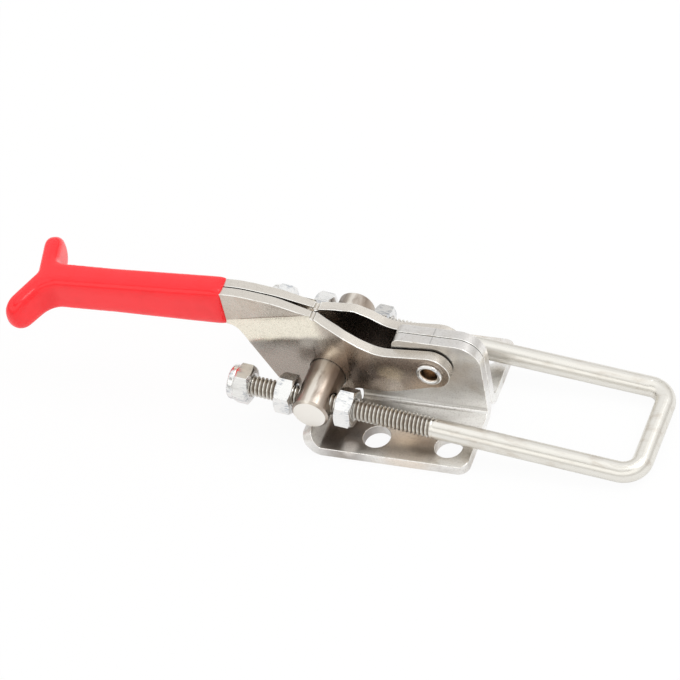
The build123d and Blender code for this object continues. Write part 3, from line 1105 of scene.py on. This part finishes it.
@dataclass
class ThreadedHook:
    """The round bar bent to a U, with a right-hand screw thread on both legs."""

    plane: RodPlane
    finish: Material
    pitch: float = 1.27
    thread_depth: float = 0.72
    tooth: tuple[Range, ...] = (
        (0.0, 0.0),
        (0.11, 0.0),
        (0.2, 0.35),
        (0.38, 0.93),
        (0.5, 1.0),
        (0.62, 0.93),
        (0.8, 0.35),
        (0.89, 0.0),
    )
    run_in: int = 2
    run_out: float = 1.6
    tail: float = 27.3
    thread_end: float = 39.6
    bend_radius: float = 6.0
    end_chamfer: float = 0.6
    thread_steps: int = 36
    bend_steps: int = 14
    sharp_from: float = 50.0

    def thread_profile(self) -> list[Triple]:
        """Repeats the tooth, whose points are shares of the pitch and the depth, into the thread's outline.

        Returns:
            Its points over the threaded run, in the XZ plane about the leg's axis.
        """
        radius = self.plane.rod_radius
        start = -self.tail - self.run_in * self.pitch
        last = self.thread_end - self.pitch
        turns = round((self.thread_end - start) / self.pitch)
        points = []
        for turn in range(turns):
            for share, cut in self.tooth:
                along = start + (turn + share) * self.pitch
                fade = min(1.0, max(0.0, (last - along) / (self.run_out * self.pitch)))
                points.append((along, 0.0, radius - cut * fade * self.thread_depth))
        points += [(start + turn * self.pitch, 0.0, radius) for turn in (turns, turns + 1)]
        return points

    def threaded_leg(self, shape: Shape, side: Side) -> Ring:
        """Adds one threaded leg, from the rod's end to the plain run.

        Args:
            shape: The bmesh, in the plane's own frame.
            side: Which leg.

        Returns:
            The open edges at the plain end.
        """
        leg = bmesh.new()
        edges = chain(leg, self.thread_profile())
        bmesh.ops.spin(
            leg,
            geom=list(leg.verts) + edges,
            cent=(0, 0, 0),
            axis=(1, 0, 0),
            dvec=(self.pitch / self.thread_steps, 0, 0),
            angle=math.tau,
            steps=self.thread_steps,
        )
        bmesh.ops.remove_doubles(leg, verts=leg.verts, dist=WELD)
        for place, way in ((-self.tail, -1), (self.thread_end, 1)):
            bmesh.ops.bisect_plane(
                leg,
                geom=list(leg.verts) + list(leg.edges) + list(leg.faces),
                dist=FINE_WELD,
                plane_co=(place, 0, 0),
                plane_no=(way, 0, 0),
                clear_outer=True,
            )
        for vert in leg.verts:
            reach = math.hypot(vert.co.y, vert.co.z)
            limit = self.plane.rod_radius - self.end_chamfer + (vert.co.x + self.tail)
            if reach > limit:
                vert.co.yz = vert.co.yz * (limit / reach)
        rear = [edge for edge in leg.edges if edge.is_boundary and edge.verts[0].co.x < 0]
        bmesh.ops.contextual_create(leg, geom=rear)
        bmesh.ops.recalc_face_normals(leg, faces=leg.faces)
        bmesh.ops.translate(leg, verts=leg.verts, vec=(0, side.value * self.plane.half_spacing, 0))
        spare = mesh_from(leg, "leg")
        shape.from_mesh(spare)
        bpy.data.meshes.remove(spare)
        return [edge for edge in shape.edges if edge.is_boundary and edge.verts[0].co.y * side.value > 0]

    def bent(self, shape: Shape, ring: Ring, centre: Triple) -> Ring:
        """Turns a ring of edges through a right angle.

        Args:
            shape: The bmesh.
            ring: The open ring.
            centre: The bend's centre.

        Returns:
            The new open ring.
        """
        verts = list({vert for edge in ring for vert in edge.verts})
        last = bmesh.ops.spin(
            shape,
            geom=verts + ring,
            cent=centre,
            axis=(0, 0, 1),
            angle=math.pi / 2,
            steps=self.bend_steps,
        )["geom_last"]
        return [item for item in last if isinstance(item, bmesh.types.BMEdge)]

    def build(self) -> Piece:
        """Builds and places the U-bar.

        Returns:
            The piece.
        """
        shape = bmesh.new()
        near = self.threaded_leg(shape, Side.NEAR)
        far = self.threaded_leg(shape, Side.FAR)
        turn_in = self.plane.reach - self.bend_radius
        run = Vector((turn_in - self.thread_end, 0, 0))
        half_width = self.plane.half_spacing - self.bend_radius
        ring = ring_on(shape, near, lambda co: co + run)
        ring = self.bent(shape, ring, (turn_in, -half_width, 0))
        ring = ring_on(shape, ring, lambda co: co + Vector((0, 2 * half_width, 0)))
        ring = self.bent(shape, ring, (turn_in, half_width, 0))
        bmesh.ops.bridge_loops(shape, edges=ring + far)
        bmesh.ops.recalc_face_normals(shape, faces=shape.faces)
        frame = self.plane.frame()
        return place_piece(
            shape, "threaded_u_bar", "hook", self.finish, ["u_bar"], frame, self.sharp_from
        )


# ---- Base ------------------------------------------------------------------------


@dataclass
class Base:
    """The two stamped halves of the base and the tubular rivet that pins the handle to them.

    The rolls of the rivet's rims are offsets: outwards from the bore or inwards from the rim, and down
    from the rims' outer face.
    """

    nodes: dict[str, Piece]
    sheet: Material
    worn: Material
    plated: Material
    edge_round: float = 0.5
    edge_segments: int = 3
    seam_gap: float = 0.11
    bore: float = 2.5
    shank: float = 3.15
    rim: float = 4.05
    rim_inner: float = 7.4
    rim_height: float = 0.95
    rim_undercut: float = 0.06
    mouth_roll: tuple[Range, ...] = ((0.0, 1.25), (0.08, 0.75), (0.26, 0.34), (0.52, 0.08), (0.84, 0.0))
    rim_roll: tuple[Range, ...] = ((0.42, 0.06), (0.16, 0.22), (0.02, 0.46), (0.0, 0.7))
    rivet_steps: int = 72

    def half(self, side: Side) -> Piece:
        """Builds one stamped half.

        Args:
            side: Which half.

        Returns:
            The piece.
        """
        node = f"base_plate_{side.label}"
        name = f"base_half_{side.label}"
        shape = merged_copy(self.nodes[node])
        part_seam(shape, side, lambda _: self.seam_gap)
        piece = place_piece(shape, name, "base", self.sheet, [node])
        soften(piece, self.edge_round, self.edge_segments, worn=self.worn)
        return piece

    def rivet(self) -> Piece:
        """Turns the tubular rivet, with its mouths rolled over into rims.

        Returns:
            The piece.
        """
        outer = self.rim_inner + self.rim_height
        roll = [(self.bore + out, outer - down) for out, down in self.mouth_roll]
        roll += [(self.rim - back, outer - down) for back, down in self.rim_roll]
        roll += [(self.rim - self.rim_undercut, self.rim_inner), (self.shank, self.rim_inner)]
        shape = turned(roll + [(radius, -height) for radius, height in reversed(roll)], self.rivet_steps)
        upright = Matrix.Translation(PIVOT) @ Matrix.Rotation(math.pi / 2, 4, "X")
        return place_piece(
            shape, "pivot_rivet_rolled", "base", self.plated, ["pivot_rivet"], upright
        )

    def build(self) -> list[Piece]:
        """Builds the pieces of the base."""
        return [self.half(Side.NEAR), self.half(Side.FAR), self.rivet()]


# ---- Handle ----------------------------------------------------------------------


@dataclass
class Handle:
    """The two formed sheet halves of the handle and the dipped sleeve over the tang and the tee."""

    nodes: dict[str, Piece]
    sheet: Material
    worn: Material
    vinyl: Material
    edge_round: float = 0.2
    seam_gap: float = 0.19
    fork_start: float = -50.0
    fork: float = -32.4
    fork_parting: float = 0.55
    tee_root: float = -116.4
    tee_sweep: Range = (6.5, 4.0)
    tee_start: float = 3.0
    tee_full: float = 9.0
    tee_neck: float = 10.0
    tee_hinge: float = 6.0
    grip_front: float = -60.9
    front_depth: float = 0.2
    front_facing: float = 0.9
    metal_reach: float = 0.15
    grip_cell: float = 0.42
    grip_smoothing: int = 16
    shaft_smoothing: int = 11
    shaft_starts: tuple[float, ...] = (4.0, 7.0, 10.0, 13.0, 16.0)
    grip_sharp_from: float = 60.0

    def sweep_tee(self, shape: Shape) -> None:
        """Swings the near arm of the tee back a little and the far one forward, as bent by hand.

        Args:
            shape: A shape in millimetres, in the part's frame.
        """
        for side, sweep in zip(Side, self.tee_sweep):
            for vert in shape.verts:
                reach = (vert.co.y * side.value - self.tee_start) / (self.tee_full - self.tee_start)
                if reach <= 0 or vert.co.x > self.tee_root + self.tee_neck:
                    continue
                share = min(1.0, reach)
                turn = math.radians(sweep) * share * share * (3 - 2 * share)
                centre = Vector((self.tee_root - self.tee_hinge, side.value * self.tee_start, vert.co.z))
                vert.co = centre + Matrix.Rotation(-turn, 3, "Z") @ (vert.co - centre)

    def parting(self, place: Vector) -> float:
        """How far a half's inner face stands off the seam: a hair, then more as the halves fork."""
        reach = min(1.0, max(0.0, (place.x - self.fork_start) / (self.fork - self.fork_start)))
        return self.seam_gap + self.fork_parting * reach * reach

    def half(self, side: Side) -> Piece:
        """Builds one formed half.

        Args:
            side: Which half.

        Returns:
            The piece.
        """
        node = f"handle_plate_{side.label}"
        name = f"handle_half_{side.label}"
        shape = merged_copy(self.nodes[node])
        part_seam(shape, side, self.parting)
        self.sweep_tee(shape)
        piece = place_piece(shape, name, "handle", self.sheet, [node])
        soften(piece, self.edge_round, worn=self.worn, clamp=False)
        return piece

    @staticmethod
    def relax(shape: Shape, verts: list[bmesh.types.BMVert], rounds: int, lengthwise: bool) -> None:
        """Evens out some vertices of a shape.

        Args:
            shape: The bmesh.
            verts: The vertices.
            rounds: How many times.
            lengthwise: Whether they may move along the shaft too, and not only across it.
        """
        for _ in range(rounds):
            bmesh.ops.smooth_vert(
                shape, verts=verts, factor=0.5, use_axis_x=lengthwise, use_axis_y=True, use_axis_z=True
            )

    def grip(self) -> Piece:
        """Builds the dipped sleeve as one soft skin, closed over the metal inside.

        Returns:
            The piece.
        """
        shape = merged_copy(self.nodes["grip_sleeve"])
        metal_halves = [surface_of(self.nodes[f"handle_plate_{side.label}"]) for side in Side]
        front = self.grip_front - self.front_depth
        inner = []
        for face in shape.faces:
            middle = face.calc_center_median()
            on_metal = min(half.find_nearest(middle)[3] for half in metal_halves) < self.metal_reach
            if on_metal or (face.normal.x > self.front_facing and middle.x > front):
                inner.append(face)
        bmesh.ops.delete(shape, geom=inner, context="FACES")
        bmesh.ops.holes_fill(shape, edges=[edge for edge in shape.edges if edge.is_boundary])
        bmesh.ops.recalc_face_normals(shape, faces=shape.faces)
        self.sweep_tee(shape)
        shape = remeshed(shape, self.grip_cell)
        self.relax(shape, list(shape.verts), self.grip_smoothing, True)
        for start in self.shaft_starts:
            shaft = [vert for vert in shape.verts if vert.co.x > self.tee_root + start]
            self.relax(shape, shaft, self.shaft_smoothing, False)
        sharp_from = self.grip_sharp_from
        return place_piece(
            shape, "dipped_grip", "handle", self.vinyl, ["grip_sleeve"], sharp_from=sharp_from
        )

    def build(self) -> list[Piece]:
        """Builds the pieces of the handle."""
        return [self.half(Side.NEAR), self.half(Side.FAR), self.grip()]


# ---- Trunnion pin ----------------------------------------------------------------


@dataclass
class TrunnionPin:
    """The cross pin that the U-bar's legs pass through."""

    nodes: dict[str, Piece]
    finish: Material
    edge_round: float = 0.16

    def build(self) -> Piece:
        """Builds the pin.

        Returns:
            The piece.
        """
        node = "trunnion_pin"
        shape = merged_copy(self.nodes[node])
        piece = place_piece(shape, "cross_drilled_pin", "trunnion", self.finish, [node])
        soften(piece, self.edge_round)
        return piece


# ---- Nuts ------------------------------------------------------------------------


class NutPlace(Enum):
    """Where a plain nut sits on its leg: in front of the pin or behind it."""

    FRONT = "front"
    REAR = "rear"


@dataclass
class Nuts:
    """Plain and lock nuts on the threaded legs.

    A face is flat over a share of the width across the flats, and chamfered outside it.
    """

    plane: RodPlane
    finish: Material
    across_flats: float = 11.11
    corner_angle: float = 30.0
    chamfer_angle: float = 30.0
    thickness: float = 5.3
    bore: float = 3.225
    mouth: float = 0.5
    plain_flat: float = 0.985
    edge_round: float = 0.13
    sharp_from: float = 24.0
    pin_radius: float = 5.8
    front_gap: float = 1.7
    rear_gap: float = 0.8
    front_turn: float = 40.0
    rear_turn: float = 32.0
    lock_turn: float = 4.0
    lock_flat: float = 0.89
    lock_edge_round: float = 0.3
    lock_start: float = -26.95
    lock_height: float = 7.1
    collar_length: float = 2.1
    collar_radius: float = 5.4
    collar_round: float = 0.95
    collar_steps: int = 5
    collar_foot: tuple[Range, ...] = ((0.0, 0.35), (0.16, 0.06))
    insert_radius: float = 4.095
    insert_start: float = 0.5
    insert_end: float = 1.9
    lip_radius: float = 3.6
    lip_round: float = 0.18
    facet_cuts: int = 7

    def cut_down(self, point: Vector, flat: float) -> float:
        """How far the chamfer of a face, flat over a share of the width, has cut it down at a point."""
        outside = max(0.0, point.xy.length - self.across_flats / 2 * flat)
        return outside * math.tan(math.radians(self.chamfer_angle))

    def hexagon(self, shape: Shape, turn: float, height: float, flat: float) -> Ring:
        """Starts a shape with a finely divided hexagon, chamfered towards the rear.

        Args:
            shape: The bmesh.
            turn: Angle of its first corner in degrees.
            height: Height of its rear face.
            flat: Share of the width over which that face is flat.

        Returns:
            Its edges.
        """
        corner = self.across_flats / 2 / math.cos(math.radians(self.corner_angle))
        bmesh.ops.create_circle(shape, cap_ends=False, radius=corner, segments=6)
        bmesh.ops.subdivide_edges(shape, edges=shape.edges, cuts=self.facet_cuts)
        spin = Matrix.Rotation(math.radians(turn - self.corner_angle), 3, "Z")
        bmesh.ops.rotate(shape, verts=shape.verts, cent=(0, 0, 0), matrix=spin)
        for vert in shape.verts:
            vert.co.z = height + self.cut_down(vert.co, flat)
        return list(shape.edges)

    def nut(self, turn: float, rear: float, front: float, rounds: Sequence[Range], flat: float) -> Shape:
        """Builds a nut from its hexagon and the round rings that follow it inwards and back.

        Args:
            turn: Angle of a corner in degrees.
            rear: Height of the hexagon's rear face.
            front: Height of its front face.
            rounds: Radius and height of each round ring after the front chamfer.
            flat: Share of the width over which both faces are flat.

        Returns:
            The nut, its axis on Z.
        """
        shape = bmesh.new()
        first = self.hexagon(shape, turn, rear, flat)
        ring = ring_on(shape, first, lambda co: Vector((co.x, co.y, front - self.cut_down(co, flat))))
        for radius, height in rounds:
            ring = ring_on(shape, ring, lambda co: Vector((*(co.xy.normalized() * radius), height)))
        bmesh.ops.bridge_loops(shape, edges=ring + first)
        bmesh.ops.recalc_face_normals(shape, faces=shape.faces)
        return shape

    def place(
        self, shape: Shape, name: str, body: str, stands_for: str, frame: Matrix, edge_round: float
    ) -> Piece:
        """Places a nut and softens its edges.

        Args:
            shape: The nut.
            name: Name of the piece.
            body: Body that it moves with.
            stands_for: CAD node that it replaces.
            frame: Its place on the leg.
            edge_round: Width of the rounding of its edges.

        Returns:
            The piece.
        """
        piece = place_piece(
            shape, name, body, self.finish, [stands_for], frame, self.sharp_from
        )
        soften(piece, edge_round, angle=self.sharp_from)
        return piece

    def plain(self, where: NutPlace, side: Side) -> Piece:
        """Builds one plain nut.

        Args:
            where: In front of the pin or behind it.
            side: Which leg.

        Returns:
            The piece.
        """
        if where is NutPlace.FRONT:
            start = self.plane.crossing(side) + self.pin_radius + self.front_gap
            turn = self.front_turn
        else:
            start = self.plane.crossing(side) - self.pin_radius - self.rear_gap - self.thickness
            turn = self.rear_turn
        flat = self.across_flats / 2 * self.plain_flat
        top = self.thickness
        rounds = [
            (flat, top),
            (self.bore + self.mouth, top),
            (self.bore, top - self.mouth),
            (self.bore, self.mouth),
            (self.bore + self.mouth, 0.0),
            (flat, 0.0),
        ]
        shape = self.nut(side.value * turn, 0.0, top, rounds, self.plain_flat)
        node = f"{where.value}_nut_{side.label}"
        name = f"{where.value}_hex_nut_{side.label}"
        frame = self.plane.on_leg(start, side)
        return self.place(shape, name, f"{node}_turning", node, frame, self.edge_round)

    def lock(self, side: Side) -> Piece:
        """Builds one lock nut, with its collar rolled in over the nylon ring.

        Args:
            side: Which leg.

        Returns:
            The piece.
        """
        bearing = self.across_flats / 2 * self.lock_flat
        top = self.lock_height
        rear = self.collar_length
        rounds = [
            (bearing, top),
            (self.bore + self.mouth, top),
            (self.bore, top - self.mouth),
            (self.bore, self.insert_end),
            (self.insert_radius, self.insert_end),
            (self.insert_radius, self.insert_start),
            (self.lip_radius, self.insert_start),
            (self.lip_radius, self.lip_round),
            (self.lip_radius + self.lip_round, 0.0),
        ]
        middle = self.collar_radius - self.collar_round
        for step in range(self.collar_steps + 1):
            angle = math.radians(90 - 90 / self.collar_steps * step)
            out, down = math.cos(angle), 1 - math.sin(angle)
            rounds.append((middle + self.collar_round * out, self.collar_round * down))
        rounds += [(self.collar_radius - back, rear - short) for back, short in self.collar_foot]
        rounds.append((self.across_flats / 2 * self.plain_flat, rear))
        shape = self.nut(side.value * self.lock_turn, rear, top, rounds, self.lock_flat)
        frame = self.plane.on_leg(self.lock_start, side)
        name = f"lock_nut_rolled_{side.label}"
        return self.place(shape, name, "hook", f"lock_nut_{side.label}", frame, self.lock_edge_round)

    def build(self) -> list[Piece]:
        """Builds all the nuts."""
        plain = [self.plain(where, side) for where in NutPlace for side in Side]
        return plain + [self.lock(side) for side in Side]


# ---- Studio ----------------------------------------------------------------------


@dataclass
class Studio:
    """White floor, soft light and the camera.

    The world's ranges are sines of the height above the level, and of the angle towards the near side.
    """

    lens: float = 172.8
    sensor: float = 36.0
    clip: Range = (0.05, 20.0)
    camera_back: float = 994.189
    camera_side: float = 32.839
    camera_drop: float = 19.695
    azimuth: float = 29.405
    elevation: float = 45.507
    roll: float = -14.506
    aim: Triple = (4.6, 0.0, 0.0)
    white: Colour = (1.0, 1.0, 1.0)
    top_light: Colour = (1.0, 1.0, 1.0)
    low_light: Colour = (0.60, 0.58, 0.55)
    front_light: Colour = (1.3, 1.29, 1.26)
    zenith_light: Colour = (1.2, 1.2, 1.19)
    opening_light: Colour = (0.30, 0.28, 0.25)
    top_sill: Range = (0.05, 0.55)
    zenith_sill: Range = (0.88, 0.92)
    near_side: Range = (0.12, 0.35)
    front_sill: Range = (0.24, 0.38)
    opening_sill: Range = (0.77, 0.82)
    opening_head: Range = (0.87, 0.90)
    world_in_gloss: float = 0.1
    paper: Colour = (0.88, 0.88, 0.88)
    floor_size: float = 6.0
    floor_white: float = 0.93
    floor_in_gloss: float = 0.5
    key_place: Triple = (0.55, 0.25, 0.85)
    key_size: float = 0.45
    key_power: float = 2.2

    def camera(self) -> None:
        """Sets up the camera."""
        turn, rise, roll = (math.radians(angle) for angle in (self.azimuth, self.elevation, self.roll))
        back = Vector((math.sin(turn) * math.cos(rise), -math.cos(turn) * math.cos(rise), math.sin(rise)))
        level = Vector((math.cos(turn), math.sin(turn), 0))
        down = -level.cross(-back)
        right = level * math.cos(roll) - down * math.sin(roll)
        below = level * math.sin(roll) + down * math.cos(roll)
        shift = right * self.camera_side + below * self.camera_drop - back * self.camera_back
        axes = Matrix((right, -below, back)).transposed().to_4x4()
        data = bpy.data.cameras.new("camera")
        data.lens = self.lens
        data.sensor_width = self.sensor
        data.clip_start, data.clip_end = self.clip
        camera = linked("camera", data)
        camera.matrix_world = Matrix.Translation((Vector(self.aim) - shift) * MM) @ axes
        bpy.context.scene.camera = camera

    @staticmethod
    def seen(board: Board, direct: float, in_gloss: float) -> Wire:
        """How much of plain white a ray finds in place of the real floor or room.

        Args:
            board: The board of the floor or the world.
            direct: Share that the camera finds, straight or through glass.
            in_gloss: Share that a glossy surface reflects.

        Returns:
            The share, from 0 to 1.
        """
        kinds = ("Is Camera Ray", "Is Transmission Ray", "Is Glossy Ray")
        camera, glass, gloss = (board.add("ShaderNodeLightPath", result=kind) for kind in kinds)
        return ((camera + glass) * direct + gloss * in_gloss).at_most(1.0)

    def floor(self) -> None:
        """Lays the floor."""
        material, board = new_board("floor_white")
        seen = self.seen(board, self.floor_white, self.floor_in_gloss)
        paper = board.add("ShaderNodeBsdfDiffuse", {}, {"Color": (*self.paper, 1.0)})
        glow = board.add("ShaderNodeEmission", {}, {"Color": (*self.white, 1.0), "Strength": 1.0})
        surface = board.add("ShaderNodeMixShader", {}, {0: seen, 1: paper, 2: glow})
        board.add("ShaderNodeOutputMaterial", {}, {"Surface": surface})
        shape = bmesh.new()
        bmesh.ops.create_grid(shape, x_segments=1, y_segments=1, size=self.floor_size)
        mesh = mesh_from(shape, "floor")
        mesh.materials.append(material)
        floor = linked("floor", mesh)

    def world(self) -> None:
        """Fills the room with soft light, which the camera sees as plain white.

        The room is dim low down and white overhead. Before the near side it is brighter, with a dark
        opening above.
        """
        world = bpy.data.worlds.new("studio")
        world.use_nodes = True
        bpy.context.scene.world = world
        board = Board(world.node_tree)
        _, north, up = board.parts(board.add("ShaderNodeTexCoord", result="Generated"))
        near = (north * -1.0).step(*self.near_side)
        above_front = up.step(*self.opening_sill)
        room = board.blend(up.step(*self.top_sill), self.low_light, self.top_light)
        room = board.blend(up.step(*self.zenith_sill), room, self.zenith_light)
        front = near * up.step(*self.front_sill) * (1.0 - above_front)
        room = board.blend(front, room, self.front_light)
        opening = near * above_front * (1.0 - up.step(*self.opening_head))
        room = board.blend(opening, room, self.opening_light)
        backdrop = board.blend(self.seen(board, 1.0, self.world_in_gloss), room, self.white)
        light = board.add("ShaderNodeBackground", {}, {"Color": backdrop, "Strength": 1.0})
        board.add("ShaderNodeOutputWorld", {}, {"Surface": light})

    def key(self) -> None:
        """Hangs a square soft box that points at the latch; its place and size are in metres."""
        data = bpy.data.lights.new("key", "AREA")
        data.size = self.key_size
        data.energy = self.key_power
        lamp = linked("key", data)
        lamp.location = self.key_place
        lamp.rotation_mode = "QUATERNION"
        lamp.rotation_quaternion = (-Vector(self.key_place)).to_track_quat("-Z", "Y")

    def build(self) -> None:
        """Builds the whole studio."""
        bpy.context.scene.view_settings.view_transform = "Standard"
        self.camera()
        self.floor()
        self.world()
        self.key()


# ---- Main ------------------------------------------------------------------------


def main() -> None:
    """Builds the latch and the studio in order."""
    logging.basicConfig(level=logging.INFO, format="%(message)s")
    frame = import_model()
    nodes = frame["nodes"]

    plane = RodPlane()
    # The rounded edges of the stampings get a lighter finish: a painted highlight.
    worn = RubbedEdge().material()
    riveted = PlatedSteel("bright_steel_rolled_rivet", bore_centre=PIVOT).material()
    bar = DrawnBar(turn=plane.turn_back(), middle=plane.pin, half_spacing=plane.half_spacing).material()
    nylon = NaturalNylon().material()

    pieces = Base(nodes, BASE_SHEET.material(), worn, riveted).build()
    pieces += Handle(nodes, HANDLE_SHEET.material(), worn, DippedVinyl().material()).build()
    pieces.append(TrunnionPin(nodes, PIN_BAR.material()).build())
    pieces.append(ThreadedHook(plane, bar).build())
    pieces += Nuts(plane, PlatedSteel().material()).build()
    for side in Side:
        insert = nodes[f"lock_nut_insert_{side.label}"]
        dress_node(insert, nylon)
        pieces.append(insert)
    for piece in pieces:
        LOG.info("%s: %d faces", piece.name, len(piece.data.polygons))

    Studio().build()


if __name__ == "__main__":
    main()
